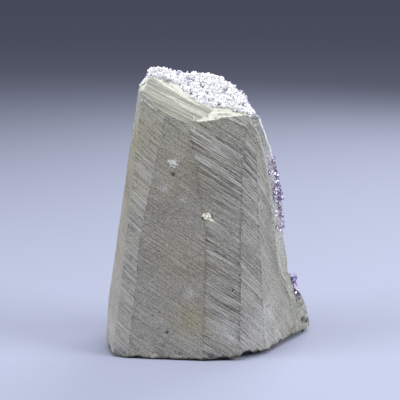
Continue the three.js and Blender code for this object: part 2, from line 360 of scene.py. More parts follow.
def paint_marks(mesh, reach, on_flat, flats, points):
    """Keeps for the material how deep and strong the marks are, the way that they run, and each flat's tone,
    which is partly painted light.
    """
    cuts = np.stack([flat["cut"] for flat in flats], axis=1)
    strengths = [mark_strength(points, flat) * flat["depth"] / USUAL_DEPTH for flat in flats]
    nearest = np.abs(reach).argmin(axis=1)
    every = np.arange(len(points))
    normals = np.stack([flat["normal"] for flat in flats])
    turn = np.sqrt(np.maximum(1 - np.clip(normals @ normals.T, -1, 1) ** 2, 1e-4))[nearest]
    turn[every, nearest] = 1e-6
    edge = np.where(turn > 0.05, np.abs(reach) / turn, 99).min(axis=1)
    dirt = np.array([flat["dirt"] for flat in flats])[nearest] * np.exp(-(edge / EDGE_DARKENING) ** 2)
    paint(mesh, "edge", np.where(on_flat, dirt, 0))
    paint(mesh, "mark_depth", np.where(on_flat, cuts[every, nearest], 0))
    paint(mesh, "coarse", np.where(on_flat, np.stack(strengths, axis=1)[every, nearest], 0))
    facing = read_rows(mesh.polygon_normals, "vector")
    middles = read_rows(mesh.polygons, "center") / MM
    miss = np.abs(off_flats(middles, flats) + 0.15) + 8 * (1 - facing @ normals.T)
    nearest = miss.argmin(axis=1)
    for name in ("across", "along"):
        paint(mesh, name, np.stack([flat[name] for flat in flats])[nearest], "FLOAT_VECTOR", "FACE")
    # Each flat's tone: partly dust, partly painted light for the way the flat faces the lights.
    paint(mesh, "tone", np.array([flat["tone"] for flat in flats])[nearest], "FLOAT", "FACE")


def worn_foot(points, reach):
    """Points with the lower edge worn away, and how strongly each is painted with the shade under the stone.
    """
    inside = np.clip(-reach.max(axis=1), 0, FOOT_GAP_DEPTH) / FOOT_GAP_DEPTH
    height = FOOT_GAP[0] + (FOOT_GAP[1] - FOOT_GAP[0]) * fade(points[:, 0], *FOOT_GAP_FROM)
    level = points * (1, 1, 0)
    height = height * (0.35 + 0.8 * cloud(level, 7.5, 12) + 0.5 * cloud(level, 1.6, 13))
    for place, reach_out, rise in FOOT_CHIPS:
        height += rise * near(level, [(place, reach_out)])
    worn = points.copy()
    worn[:, 2] = np.maximum(points[:, 2], height * (1 - inside) ** FOOT_ARCH * (inside < 1))
    # Painted shade: a fringe up to 0.9 mm above the worn lip, darkest at the lip and left off the high chips.
    under = (inside < 1) * fade(worn[:, 2], height + 0.9, height) * fade(height, 5.0, 3.5)
    return worn, under


def jagged(points):
    """How far in mm a rough break lies below the even surface, less than nothing where it stands out."""
    lumps = 3.2 * cloud(points, 2.6, 6) + cloud(points, 0.9, 14)
    return lumps + 1.6 * np.abs(cloud(points, 1.5, 7) - 0.5) - 2.4


basalt_tree = tree_of("basalt_matrix")
agate_tree = tree_of("agate_rind")
quartz_tree = tree_of("quartz_bed")
flats = wheel_flats("basalt_matrix")

basalt = fine_stone("basalt_stone", "basalt_matrix", BASALT_GRAIN, [agate_tree], BASALT_SHARE)
points = read_points(basalt.data)
contact = gap_to(points, agate_tree)
reach = off_flats(points, flats)
on_flat = (np.abs(reach).min(axis=1) < FLAT_REACH) & (contact > HIDDEN_GAP) & (points[:, 2] > BASE_SKIN)
points = grind(points, on_flat, flats)

# Bites out of the foot, pits, and the rough broken skin of the low right corner.
basalt.data.update()
outward = read_rows(basalt.data.vertex_normals, "vector")
shown = fade(contact, 0.3, 1.2) * fade(points[:, 2], 0.05, 0.6)
broken = near(points, BROKEN_SKIN)
foot = 1 - fade(points[:, 2], *NIBBLED_BELOW)
nibbled = NIBBLE_DEPTH * fade(cloud(points, 3.1, 5), 0.46, 0.62) * foot
pits = near(points, PITS)
vesicles = fade(cloud(points, 1.7, 8), 0.86, 0.93) * fade(cloud(points, 14, 9), 0.5, 0.7)
sunk = nibbled + broken * jagged(points) + PIT_DEPTH * pits + VESICLE_DEPTH * vesicles
sunk = shown * (sunk + GRIT * cloud(points, 0.9, 10))
points -= outward * sunk[:, None]
points[:, 2] = np.maximum(points[:, 2], 0)
points, under = worn_foot(points, reach)
write_points(basalt.data, points)
basalt.data.shade_smooth()

paint_marks(basalt.data, reach, on_flat, flats, points)
paint(basalt.data, "ochre", near(points, OCHRE_STAINS))
paint(basalt.data, "warm", near(points, WARM_PLACES))
# Painted light: the basalt is painted lighter low down and darker higher up.
paint(basalt.data, "low", 1 - fade(points[:, 2], *PAINTED_LIGHT_BELOW))
paint(basalt.data, "scuffed", near(points, SCUFFS))
# Painted shade in the pits and vesicles and on the lip under the worn foot.
paint(basalt.data, "pit_and_foot_shade", np.clip(pits + 0.6 * vesicles + under, 0, 1))
paint(basalt.data, "broken", np.clip(broken + 0.5 * foot * fade(nibbled, 0.1, 0.6), 0, 1))
paint(basalt.data, "by_agate", 1 - fade(contact, *GREEN_REACH))


class Look:
    """A material in the making: its main shader, and the nodes that feed it."""

    def __init__(self, name):
        self.material = bpy.data.materials.new(name)
        self.material.use_nodes = True
        self.tree = self.material.node_tree
        self.shader = next(n for n in self.tree.nodes if n.type == "BSDF_PRINCIPLED")
        self.places = self.node("TexCoord").outputs["Object"]

    def feed(self, socket, value):
        """Gives a socket a number or colour, another node's output, or a painted value by its name."""
        if isinstance(value, str):
            value = self.node("Attribute", attribute_name=value).outputs["Fac"]
        if isinstance(value, bpy.types.NodeSocket):
            self.tree.links.new(value, socket)
        else:
            socket.default_value = value

    def node(self, kind, inputs=None, **settings):
        """A shader node with its settings, and its sockets given values or linked."""
        made = self.tree.nodes.new("ShaderNode" + kind)
        for key, value in settings.items():
            setattr(made, key, value)
        for socket, value in (inputs or {}).items():
            self.feed(made.inputs[socket], value)
        return made

    def set(self, socket, value):
        self.feed(self.shader.inputs[socket], value)

    def math(self, operation, value, *others):
        for other in others:
            value = self.node("Math", {0: value, 1: other}, operation=operation).outputs[0]
        return value

    def total(self, *values):
        return self.math("ADD", *values)

    def times(self, *values):
        return self.math("MULTIPLY", *values)

    def spread(self, value, low, high, start=0.0, end=1.0):
        """The value with its range from low to high stretched to start to end."""
        inputs = {"Value": value, "From Min": low, "From Max": high, "To Min": start, "To Max": end}
        return self.node("MapRange", inputs).outputs[0]

    def clamp(self, value):
        return self.node("Clamp", {"Value": value}).outputs[0]

    def grain(self, scale, detail=3.0, roughness=0.6, vector=None):
        vector = self.places if vector is None else vector
        inputs = {"Vector": vector, "Scale": scale, "Detail": detail, "Roughness": roughness}
        return self.node("TexNoise", inputs).outputs["Fac"]

    def streaks(self, across_scale, along_scale):
        """Fine streaks that follow the wheel's marks."""
        run = []
        for direction, scale in (("across", across_scale), ("along", along_scale)):
            way = self.node("Attribute", attribute_name=direction).outputs["Vector"]
            dot = self.node("VectorMath", {0: self.places, 1: way}, operation="DOT_PRODUCT")
            run.append(self.times(dot.outputs["Value"], scale))
        streak = self.node("CombineXYZ", {0: run[0], 1: run[1]}).outputs[0]
        return self.grain(1.0, 3.0, 0.65, streak)

    def mix(self, share, first, second, how="MIX"):
        inputs = {0: share, 6: first, 7: second}
        return self.node("Mix", inputs, data_type="RGBA", blend_type=how).outputs[2]

    def bump(self, height, strength, distance):
        inputs = {"Height": height, "Strength": strength, "Distance": distance * MM}
        self.set("Normal", self.node("Bump", inputs).outputs[0])


def basalt_material():
    look = Look("ground_basalt")
    fine = look.streaks(1500, 70)
    broad = look.streaks(780, 26)
    speckle = look.grain(1500, 4, 0.85)
    mottle = look.grain(70, 5, 0.65)
    patches = look.grain(24, 2, 0.5)
    # Partly painted shade and highlight, partly stone dust: the marks' light and dark stripes, the darker
    # colour where the wheel cut deeper, and the pale scratch lines.
    lined = look.total(look.spread(broad, 0.44, 0.60, -0.35, 0.65), look.spread(fine, 0.42, 0.6, -0.5, 0.6))
    lined = look.times(lined, "coarse")
    tone = look.total(
        look.times(lined, 0.32),
        look.spread(fine, 0.35, 0.65, -0.10, 0.10),
        look.spread(speckle, 0.25, 0.75, -0.8, 0.8),
        look.spread(mottle, 0.3, 0.7, -0.12, 0.12),
        # Each flat's own tone, partly painted light for the way it faces the lights.
        "tone",
        # Painted light: lighter low down, darker higher up.
        look.spread("low", 0.0, 1.0, -0.04, 0.08),
        look.spread("mark_depth", 0.0, 0.5, 0.56, 0.40))
    # Darker along the edges between flats.
    dirt = look.times("edge", look.spread(mottle, 0.3, 0.6, 0.1, 0.36))
    colour = look.mix(look.math("SUBTRACT", tone, dirt), DARK_BASALT, LIGHT_BASALT)
    warm = look.times(look.spread(patches, 0.35, 0.65, 0.5, 1.0), "warm")
    colour = look.mix(warm, colour, WARM_TINT, "MULTIPLY")
    # Pale scratch lines: partly stone dust, partly painted highlight.
    scratch = look.spread(look.streaks(1000, 9), 0.51, 0.60)
    scratch = look.times(scratch, look.spread("coarse", 0.3, 2.0, 0.04, 0.95))
    colour = look.mix(scratch, colour, STONE_DUST)
    ochre = look.times("ochre", look.spread(mottle, 0.3, 0.6), OCHRE_SHARE)
    colour = look.mix(ochre, colour, OCHRE_TINT, "MULTIPLY")
    pale = look.times("scuffed", look.spread(speckle, 0.35, 0.6), SCUFF_SHARE)
    colour = look.mix(pale, colour, STONE_DUST)
    colour = look.mix(look.times("by_agate", GREEN_SHARE), colour, GREEN_TINT, "MULTIPLY")
    rough = look.times("broken", look.spread(speckle, 0.3, 0.6), BROKEN_SHARE)
    colour = look.mix(rough, colour, BROKEN_BASALT)
    # Painted shade in the pits and vesicles and under the worn foot.
    look.set("Base Color", look.mix(look.times("pit_and_foot_shade", PAINTED_SHADE_SHARE), colour, PAINTED_SHADE))
    look.set("Roughness", look.spread(speckle, 0.3, 0.7, 0.72, 0.95))
    look.bump(look.total(look.times(fine, 0.8), speckle, look.times(lined, 0.8)), 0.8, 0.3)
    look.set("Specular IOR Level", 0.3)
    return look.material


basalt.data.materials.append(basalt_material())
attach(basalt, "root")
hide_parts("basalt_matrix")

# ----------------------------------------------------------------------
# Nodules: three old gas bubbles in the basalt, filled with soft pale minerals and then ground flush with
# the flats. Each is a cluster of lumpy grains that sits in its own socket.
# ----------------------------------------------------------------------
NODULES = {
    # name: (CAD node, light and dark colour, grains as offset right and up, half size and how far sunk in mm)
    "cream_nodule": (
        "nodule_cream", (0.95, 0.92, 0.76, 1), (0.36, 0.35, 0.25, 1),
        [(0, 0, 2.5, 1.0), (-0.4, 0.2, 1.3, 0), (-1.5, 1.0, 1.0, 0), (0.8, -0.5, 1.1, 0), (1.9, -1.6, 1.0, 0),
         (0.6, 1.2, 0.6, 0), (2.9, -2.5, 0.7, 0), (3.7, -3.3, 0.4, 0), (-2.4, 0.4, 0.5, 0)]),
    "white_nodule": (
        "nodule_white", (0.66, 0.66, 0.62, 1), (0.28, 0.28, 0.255, 1),
        [(0, 0, 2.2, 0.9), (0, 0, 1.5, 0), (-1.7, 0.9, 1.0, 0), (1.5, 1.1, 0.9, 0), (0.8, -1.9, 0.8, 0),
         (2.4, -0.6, 0.6, 0), (-0.9, -1.5, 0.6, 0), (3.1, 0.8, 0.4, 0)]),
    "grey_nodule": (
        "nodule_grey", (0.52, 0.53, 0.51, 1), (0.28, 0.29, 0.27, 1),
        [(0, 0, 1.3, 0.4), (0, 0, 1.0, 0), (0.6, -1.4, 0.8, 0)]),
}
NODULE_GRAIN = 0.12 * MM
NODULE_PROUD = 0.12  # mm that the grains stand above the ground face
LUMP_SUNK = 0.25  # of its half size that a grain's middle lies below the face
NODULE_LIT = (0.25, 0.65)  # mm below the face, over which the grains are painted darker, as shade falls deeper in their socket
# How far that painted shade goes over the grains' colour.
NODULE_SOCKET_SHADE = 0.85


def nodule_piece(name, node, grains):
    """Lumpy grains round the middle of the CAD node, cut flush with the flat that they lie in."""
    low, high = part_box(node)
    middle = np.array((low + high) / 2) / MM
    flat = min(flats, key=lambda f: abs(middle @ f["normal"] - f["offset"]))
    face = flat["normal"]
    right = np.cross((0, 0, 1), face)
    up = np.cross(face, right)
    middle = middle - face * (middle @ face - flat["offset"])
    shape = bmesh.new()
    for x, z, half, sunk in grains:
        place = middle + x * right + z * up - (LUMP_SUNK * half + sunk) * face
        bmesh.ops.create_icosphere(
            shape, subdivisions=4, radius=half * MM, matrix=Matrix.Translation(place * MM))
    bmesh.ops.bisect_plane(
        shape, geom=shape.verts[:] + shape.edges[:] + shape.faces[:], dist=1e-7, clear_outer=True,
        plane_co=Vector(face * (flat["offset"] + NODULE_PROUD) * MM), plane_no=Vector(face))
    bmesh.ops.holes_fill(shape, edges=[edge for edge in shape.edges if edge.is_boundary])
    piece = new_piece(name, shape)
    remesh(piece, NODULE_GRAIN)
    lumps = read_points(piece.data)
    sunk = 0.3 * cloud(lumps, 0.55, 31) + 0.25 * cloud(lumps, 1.3, 32) - 0.1
    lumps -= read_rows(piece.data.vertex_normals, "vector") * sunk[:, None]
    write_points(piece.data, lumps)
    piece.data.shade_smooth()
    paint(piece.data, "depth", flat["offset"] - lumps @ face)
    return piece


def nodule_material(name, light, dark):
    look = Look(name)
    grains = look.grain(1500, 4, 0.7)
    tone = look.total(look.times(grains, 0.5), look.times(look.grain(500), 0.5))
    colour = look.mix(look.spread(tone, 0.42, 0.56), dark, light)
    # Painted shade: grains darken the deeper they lie below the face in their socket.
    deep = look.spread("depth", *NODULE_LIT, 0.0, NODULE_SOCKET_SHADE)
    look.set("Base Color", look.mix(deep, colour, BROKEN_BASALT))
    look.bump(grains, 0.5, 0.15)
    look.set("Roughness", 0.6)
    return look.material


for name, (node, light, dark, grains) in NODULES.items():
    nodule = nodule_piece(name, node, grains)
    nodule.data.materials.append(nodule_material(name, light, dark))
    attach(nodule, "root")
    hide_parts(node)

# ----------------------------------------------------------------------
# Agate rind: fine-grained chalcedony that lined the cavity in thin bands, greenish grey with pale cream
# lines. It broke smooth and shell-like at the top, where the wheel also cut one short coarse chamfer.
# ----------------------------------------------------------------------
AGATE_GRAIN = 0.5 * MM
AGATE_SHARE = 0.35
CHAMFER_RISE = 0.4  # of its normal at least
CHAMFER_REACH = 0.5  # mm
BROKEN_ABOVE = 100  # mm
SHELL_ROOT = (20, -10, 128)  # mm, where the ripples of the shell-like break start
SHELLS = (0.9, 0.25)  # mm deep: its hollows and its ripples
NICK_DEPTH = 0.8
DUSTY_FROM = (20, 33)  # mm along X, where the chamfer turns as dull as the basalt beside it
DUSTY_BY_BASALT = (0.40, 0.12)  # of the layer's thickness, where it does so along the basalt
AGATE_BODY = (0.50, 0.51, 0.44, 1)
AGATE_BREAK = (0.50, 0.505, 0.44, 1)
AGATE_CREAM = (0.79, 0.78, 0.67, 1)
AGATE_MILK = (0.66, 0.67, 0.61, 1)
AGATE_DUST = (0.26, 0.26, 0.21, 1)
DARK_SIDE = (0.15, 0.15, 0.13, 1)
LIGHT_SIDE = (0.42, 0.42, 0.38, 1)

agate = fine_stone("agate_layer", "agate_rind", AGATE_GRAIN, [basalt_tree, quartz_tree], AGATE_SHARE)
before = read_points(agate.data)
from_basalt = gap_to(before, basalt_tree)
from_quartz = gap_to(before, quartz_tree)
contact = np.minimum(from_basalt, from_quartz)
chamfers = [flat for flat in wheel_flats("agate_rind") if flat["normal"][2] > CHAMFER_RISE]
reach = off_flats(before, flats)
on_flat = (np.abs(reach).min(axis=1) < FLAT_REACH) & (contact > 0.15) & (before[:, 2] > BASE_SKIN)
points = grind(before, on_flat, flats)
on_chamfer = np.zeros(len(points), bool)
for flat in chamfers:
    flat["cut"] = mark_depth(before, flat)
    off = before @ flat["normal"] - flat["offset"]
    here = (np.abs(off) < CHAMFER_REACH) & ~on_flat
    points = np.where(here[:, None], before - np.outer(off + flat["cut"], flat["normal"]), points)
    on_chamfer |= here
outward = read_rows(agate.data.vertex_normals, "vector")
bare = ~on_flat & ~on_chamfer & (points[:, 2] > BROKEN_ABOVE) & (contact > 0.3)
chipped = near(points, BROKEN_SKIN) * fade(contact, 0.1, 0.6) * jagged(points)
ripples = lines(np.linalg.norm(points - SHELL_ROOT, axis=1), 1.7, 42)
shells = SHELLS[0] * cloud(points, 7.5, 41) + SHELLS[1] * ripples
nicks = NICK_DEPTH * fade(cloud(points, 1.9, 43), 0.62, 0.8)
points -= outward * (bare * (shells + nicks) + chipped)[:, None]
points[:, 2] = np.maximum(points[:, 2], 0)
points, under = worn_foot(points, reach)
write_points(agate.data, points)
agate.data.shade_smooth()
layer = from_basalt / np.maximum(from_basalt + from_quartz, 0.01)
by_basalt = 0.8 * fade(layer, *DUSTY_BY_BASALT)
paint(agate.data, "layer", layer)
paint(agate.data, "ground", (on_flat | on_chamfer) * 1.0)
paint(agate.data, "side", on_flat * 1.0)
paint(agate.data, "dusty", on_chamfer * np.maximum(fade(points[:, 0], *DUSTY_FROM), by_basalt))
paint(agate.data, "broken", near(points, BROKEN_SKIN))
# Painted shade under the worn foot.
paint(agate.data, "under", under)
both = flats + chamfers
paint_marks(agate.data, off_flats(before, both), on_flat | on_chamfer, both, before)


def agate_material():
    look = Look("banded_agate")
    fine = look.streaks(1300, 50)
    speckle = look.grain(1300, 3, 0.7)
    place = look.total("layer", look.times(look.grain(220, 3, 0.5), 0.22))
    bands = look.node("TexNoise", {"W": place, "Scale": 11.0, "Detail": 3.0}, noise_dimensions="1D")
    vein = look.math("SUBTRACT", look.grain(150), 0.5)
    vein = look.node("Math", {0: vein}, operation="ABSOLUTE").outputs[0]
    colour = look.mix("ground", AGATE_BREAK, AGATE_BODY)
    colour = look.mix(look.spread(vein, 0.018, 0.004, 0.0, 0.8), colour, AGATE_CREAM)
    colour = look.mix(look.spread(bands.outputs["Fac"], 0.56, 0.64, 0.0, 0.85), colour, AGATE_CREAM)
    colour = look.mix(look.times(look.spread(place, 0.96, 1.10), 0.7), colour, AGATE_CREAM)
    colour = look.mix(look.spread(look.grain(130, 4), 0.3, 0.75, 0.0, 0.3), colour, AGATE_MILK)
    lined = look.times(look.spread(look.streaks(560, 14), 0.60, 0.40, -0.1, 0.75), "coarse")
    lined = look.total(look.times(lined, 0.5), look.spread(fine, 0.65, 0.35, -0.2, 0.4))
    dust = look.total(lined, look.spread(speckle, 0.3, 0.7, 0.0, 0.5))
    colour = look.mix(look.clamp(look.times(dust, "ground")), colour, AGATE_DUST)
    line = look.spread("layer", 0.93, 0.80)
    skin = look.times(look.spread(speckle, 0.3, 0.7, 0.7, 1.05), line, "side")
    dusty = look.times("dusty", look.spread(fine, 0.35, 0.65, 0.35, 1.0))
    streaks = look.total(look.spread(speckle, 0.3, 0.7, 0.0, 0.6), look.spread(fine, 0.4, 0.6, -0.3, 0.65))
    worn = look.mix(streaks, DARK_SIDE, LIGHT_SIDE)
    colour = look.mix(look.clamp(look.total(skin, dusty)), colour, worn)
    colour = look.mix(look.times("broken", 0.9), colour, BROKEN_BASALT)
    # Painted shade under the worn foot.
    look.set("Base Color", look.mix(look.times("under", 0.7), colour, PAINTED_SHADE))
    look.set("Roughness", look.total(look.times("ground", 0.3), 0.42))
    height = look.times(look.math("SUBTRACT", fine, lined), "ground")
    look.bump(look.total(height, look.times(speckle, 0.35)), 0.6, 0.3)
    look.set("Subsurface Weight", 0.12)
    look.set("Subsurface Radius", (0.0020, 0.0021, 0.0016))
    look.set("Subsurface Scale", 1.0)
    return look.material


agate.data.materials.append(agate_material())
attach(agate, "root")
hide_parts("agate_rind")

# ----------------------------------------------------------------------
# Quartz bed: massive milky quartz that grew inwards from the agate as columns side by side. The top is
# broken across them, so it is sugary: small flat-faced grains with shadowed gaps between them.
# ----------------------------------------------------------------------
QUARTZ_GRAIN = 0.6 * MM
QUARTZ_SHARE = 0.4
GRAIN_KINDS = 24
GRAIN_COUNT = 3200
GRAIN_SIZE = (0.45, 1.5)  # mm
GRAIN_SMALLNESS = 1.6  # power that makes most grains small
GROWTH_WAY = Vector((-0.5, -0.35, 0.1))
GROWTH_SPREAD = 0.8
SUGARY_ABOVE = (119, 124)  # mm, where the top begins to be sugary
SUGARY_ON_RIM = 8  # mm higher on the right rim
RIDGE = (132, 138)  # mm, where the ridge of the broken top begins and where it is highest
RIDGE_RISE = 1.0  # mm that the grains stand higher there
GAP_SIZE = 1.7  # mm between gaps
GAP_FROM = (0.60, 0.74)  # values of the noise at the sides of a gap
PIT_IN_QUARTZ = 1.7  # mm
# Amethyst points among the quartz on the ridge of the broken top: place and radius in mm.
RIDGE_POINTS = [((20.5, -4.4, 140.4), 1.9), ((17.6, -4.0, 140.2), 1.5), ((12.4, -4.0, 139.2), 1.7)]
RIM_AZIMUTH = 236  # of the flat that cuts the right rim
RIM_REACH = [(-5, 3.6), (20, 3.6), (27, 0.4), (37, 0.4), (44, 3.4), (58, 3.0), (110, 2.0), (150, 2.0)]
BARE_EDGE = (0.84, 0.95)  # of the layer's thickness, where the upper rim is left white
BARE_ABOVE = (92, 102)  # mm
SOIL_BELOW = (35, 75)  # mm
DULL_FROM = (96, 108)  # mm, where the ground right side turns as dull as the basalt beside it
QUARTZ_WHITE = (0.92, 0.92, 0.92, 1)
QUARTZ_CLEAR = (0.76, 0.76, 0.80, 1)
# Bluish grey painted shade of the gaps between the loose grains; the clearer grains are tinted towards it
# too.
QUARTZ_GAP = (0.52, 0.53, 0.61, 1)
QUARTZ_DUST = (0.27, 0.27, 0.25, 1)
QUARTZ_SIDE = (0.52, 0.52, 0.52, 1)
SOIL_TINT = (0.84, 0.85, 0.72, 1)
DULL_TINT = (0.56, 0.56, 0.53, 1)

druse_tree = tree_of("amethyst_druse")
rim_flat = min(flats, key=lambda flat: abs(azimuth_of(flat) - RIM_AZIMUTH))
rim_way = sideways(rim_flat["normal"])


def reach_of_rim(heights):
    """How far in mm the right rim of the bed stands forward round the points, by height."""
    return np.interp(heights, [z for z, _ in RIM_REACH], [reach for _, reach in RIM_REACH])


def cut_away(shape, place, normal):
    """Cuts a convex shape by a plane, drops what is outside and closes the cut. Places are in mm."""
    cut = bmesh.ops.bisect_plane(
        shape, geom=shape.verts[:] + shape.edges[:] + shape.faces[:], dist=1e-4, clear_outer=True,
        plane_co=place, plane_no=normal)
    edges = [item for item in cut["geom_cut"] if isinstance(item, bmesh.types.BMEdge)]
    if len(edges) > 2:
        bmesh.ops.edgeloop_fill(shape, edges=edges)


def random_way(source):
    return Vector((source.gauss(0, 1), source.gauss(0, 1), source.gauss(0, 1))).normalized()


def grain_template(source):
    """A broken grain of quartz 1 across: a block with a few flat breaks."""
    shape = bmesh.new()
    bmesh.ops.create_cube(shape, size=1.0)
    for _ in range(5):
        way = random_way(source)
        cut_away(shape, way * source.uniform(0.30, 0.48), way)
    mesh = bpy.data.meshes.new("grain")
    shape.to_mesh(mesh)
    shape.free()
    return mesh


def join_meshes(name, parts):
    """One piece from many (mesh, matrix), with the places of the matrices in mm."""
    shape = bmesh.new()
    for mesh, matrix in parts:
        copy = mesh.copy()
        copy.transform(Matrix.Scale(MM, 4) @ matrix)
        shape.from_mesh(copy)
        bpy.data.meshes.remove(copy)
    return new_piece(name, shape)


def turned_to(way, spin):
    return way.to_track_quat("Z", "Y").to_matrix().to_4x4() @ Matrix.Rotation(spin, 4, "Z")


def broken_top_places(source, count):
    """Random places on the broken top of the quartz, with the way each faces."""
    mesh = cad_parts["quartz_bed"].data
    faces = [face for face in mesh.polygons if face.normal.z > 0.35 and face.center.z / MM > BROKEN_ABOVE]
    places = []
    for face in source.choices(faces, weights=[face.area for face in faces], k=count):
        a, b, c = (mesh.vertices[i].co for i in face.vertices)
        u, v = sorted((source.random(), source.random()))
        places.append(((a * u + b * (v - u) + c * (1 - v)) / MM, face.normal.copy()))
    return places


quartz = fine_stone("quartz_ground", "quartz_bed", QUARTZ_GRAIN, [agate_tree, druse_tree], QUARTZ_SHARE)
points = read_points(quartz.data)
contact = np.minimum(gap_to(points, agate_tree), gap_to(points, druse_tree))
reach = off_flats(points, flats)
on_flat = (np.abs(reach).min(axis=1) < FLAT_REACH) & (points[:, 2] > BASE_SKIN)
points = grind(points, on_flat, flats)
from_agate = gap_to(points, agate_tree)
share = from_agate / (from_agate + gap_to(points, druse_tree) + 0.01)
outward = read_rows(quartz.data.vertex_normals, "vector")
broken = fade(outward[:, 2], 0.1, 0.4) * fade(points[:, 2], *SUGARY_ABOVE)
gaps = fade(cloud(points, GAP_SIZE, 50), *GAP_FROM) + 0.4 * fade(cloud(points, 5.5, 55), 0.62, 0.8)
sugar = 0.6 * cloud(points, 1.5, 51) + 0.5 * cloud(points, 0.9, 52) + 1.3 * gaps - 0.4
sugar -= 0.7 * fade(points[:, 2], *RIDGE)
rim_shift = reach_of_rim(points[:, 2])[:, None] * rim_way * share[:, None] ** 2
pits = near(points + rim_shift, PITS)
side = (1 - broken) * on_flat * (0.5 * cloud(points, 1.6, 53) + 0.3 * cloud(points, 0.8, 54))
side += near(points, BROKEN_SKIN) * fade(contact, 0.1, 0.6) * jagged(points) + PIT_IN_QUARTZ * pits
white = fade(share, *BARE_EDGE) * fade(points[:, 2], *BARE_ABOVE)
ground_side = (1 - broken) * on_flat * (1 - white)
rim_shift *= fade(off_flats(points, [rim_flat]), -5, -1)
points += rim_shift - outward * (broken * sugar + side)[:, None]
points[:, 2] = np.clip(points[:, 2], 0, cad_box[1].z / MM)
points, under = worn_foot(points, reach)
write_points(quartz.data, points)

# Loose-looking grains over the broken top, but none in its gaps or round its amethyst points.
quartz_source = random.Random(61)
templates = [grain_template(quartz_source) for _ in range(GRAIN_KINDS)]
grains = []
clear = []
for place, way in broken_top_places(quartz_source, GRAIN_COUNT):
    spot = np.array([place])
    in_gap = fade(cloud(spot, GAP_SIZE, 50), *GAP_FROM)[0] > 0.35
    on_rim = spot[0] @ rim_flat["normal"] > rim_flat["offset"] - 1.5
    by_point = min((place - Vector(at)).length - radius for at, radius in RIDGE_POINTS) < 0.8
    if in_gap or by_point or place.z < SUGARY_ABOVE[0] + SUGARY_ON_RIM * on_rim:
        continue
    size = GRAIN_SIZE[0] + (GRAIN_SIZE[1] - GRAIN_SIZE[0]) * quartz_source.random() ** GRAIN_SMALLNESS
    lean = (GROWTH_WAY + GROWTH_SPREAD * random_way(quartz_source)).normalized()
    at = place - way * quartz_source.uniform(0.1, 0.6) * size
    at.z += RIDGE_RISE * min(1, max(0, (place.z - RIDGE[0]) / (RIDGE[1] - RIDGE[0])))
    wide, tall = quartz_source.uniform(0.5, 0.9), quartz_source.uniform(1.2, 2.4)
    turn = turned_to(lean, quartz_source.uniform(0, math.tau))
    stretch = Matrix.Diagonal((size, size * wide, size * tall, 1))
    grains.append((quartz_source.choice(templates), Matrix.Translation(at) @ turn @ stretch))
    clear.extend([quartz_source.random() ** 3] * len(grains[-1][0].vertices))
loose = join_meshes("quartz_grains", grains)
points = read_points(loose.data)
points[:, 2] = np.minimum(points[:, 2], cad_box[1].z / MM)
write_points(loose.data, points)
shape = bmesh.new()
shape.from_mesh(quartz.data)
shape.from_mesh(loose.data)
bpy.data.objects.remove(loose)
bpy.data.objects.remove(quartz)
quartz = new_piece("quartz_layer", shape)
points = read_points(quartz.data)
quartz.data.shade_flat()
none = np.zeros(len(clear))
on_solid = np.concatenate([np.ones(len(under)), none])
# Painted shade for the gaps: the solid top, which shows only between the loose grains.
paint(quartz.data, "gap", on_solid * (points[:, 2] > SUGARY_ABOVE[0]))
paint(quartz.data, "ground", np.concatenate([ground_side, none]))
# Painted shade under the worn foot and in the pits.
paint(quartz.data, "under", np.concatenate([np.clip(under + pits, 0, 1), none]))
paint(quartz.data, "clear", np.concatenate([np.zeros(len(under)), clear]))
paint(quartz.data, "broken", near(points, BROKEN_SKIN))
paint(quartz.data, "low", 1 - fade(points[:, 2], *SOIL_BELOW))
paint(quartz.data, "high", fade(points[:, 2], *DULL_FROM))


def quartz_material():
    look = Look("milky_quartz")
    veil = look.grain(260, 4)
    sparkle = look.grain(1500, 2, 0.5)
    colour = look.mix(look.spread(veil, 0.42, 0.72), QUARTZ_WHITE, QUARTZ_CLEAR)
    colour = look.mix(look.times("clear", 0.35), colour, QUARTZ_GAP)
    # Painted shade in the gaps between the loose grains.
    deep = look.times("gap", look.spread(sparkle, 0.3, 0.7, 0.4, 0.9))
    colour = look.mix(deep, colour, QUARTZ_GAP)
    worn = look.mix(look.spread(sparkle, 0.35, 0.65), QUARTZ_DUST, QUARTZ_SIDE)
    worn = look.mix("low", worn, SOIL_TINT, "MULTIPLY")
    worn = look.mix("high", worn, DULL_TINT, "MULTIPLY")
    colour = look.mix(look.times("ground", 0.95), colour, worn)
    rough = look.times("broken", look.spread(sparkle, 0.3, 0.7, 0.55, 1.0))
    colour = look.mix(rough, colour, BROKEN_BASALT)
    # Painted shade under the worn foot and in the pits.
    look.set("Base Color", look.mix(look.times("under", 0.85), colour, PAINTED_SHADE))
    look.set("Roughness", look.spread(sparkle, 0.3, 0.7, 0.16, 0.5))
    look.bump(veil, 0.25, 0.3)
    look.set("Subsurface Weight", 0.15)
    look.set("Subsurface Radius", (0.0015, 0.0015, 0.0017))
    look.set("Subsurface Scale", 1.0)
    return look.material


quartz.data.materials.append(quartz_material())
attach(quartz, "root")
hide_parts("quartz_bed")

# ----------------------------------------------------------------------
# Amethyst druse: clear quartz points tinted purple by iron, grown from the quartz bed side by side. Each
# is a six-sided prism with a six-sided tip; a small point that met a larger one stopped at its faces.
# ----------------------------------------------------------------------
POINT_SIZES = [(5.2, 6.6, 60), (3.4, 5.0, 500), (2.2, 3.3, 2500), (1.1, 2.1, 9000)]  # radius range, tries
LEAST_LARGE = 2.2  # mm of radius, above which a point needs the bed all round its root
CROWDING = 0.66  # of two radii added, between the roots of two points
TIP_SLOPE = math.radians(51.8)
TIP_HEIGHT = 1.1  # of the radius
ROOT_DEPTH = 1.2  # mm that a point starts below the bed
ROOT_TAPER = 0.97
POINT_LEAN = 0.32
BED_TURN = -0.15  # of the bed's normal along Y at most, where points grow
FRONT_LIMIT = cad_box[0].y / MM + 0.4
RIM_HEIGHTS = (58, 102)  # mm, where small points stand proud of the right rim
RIM_PROUD = 1.9
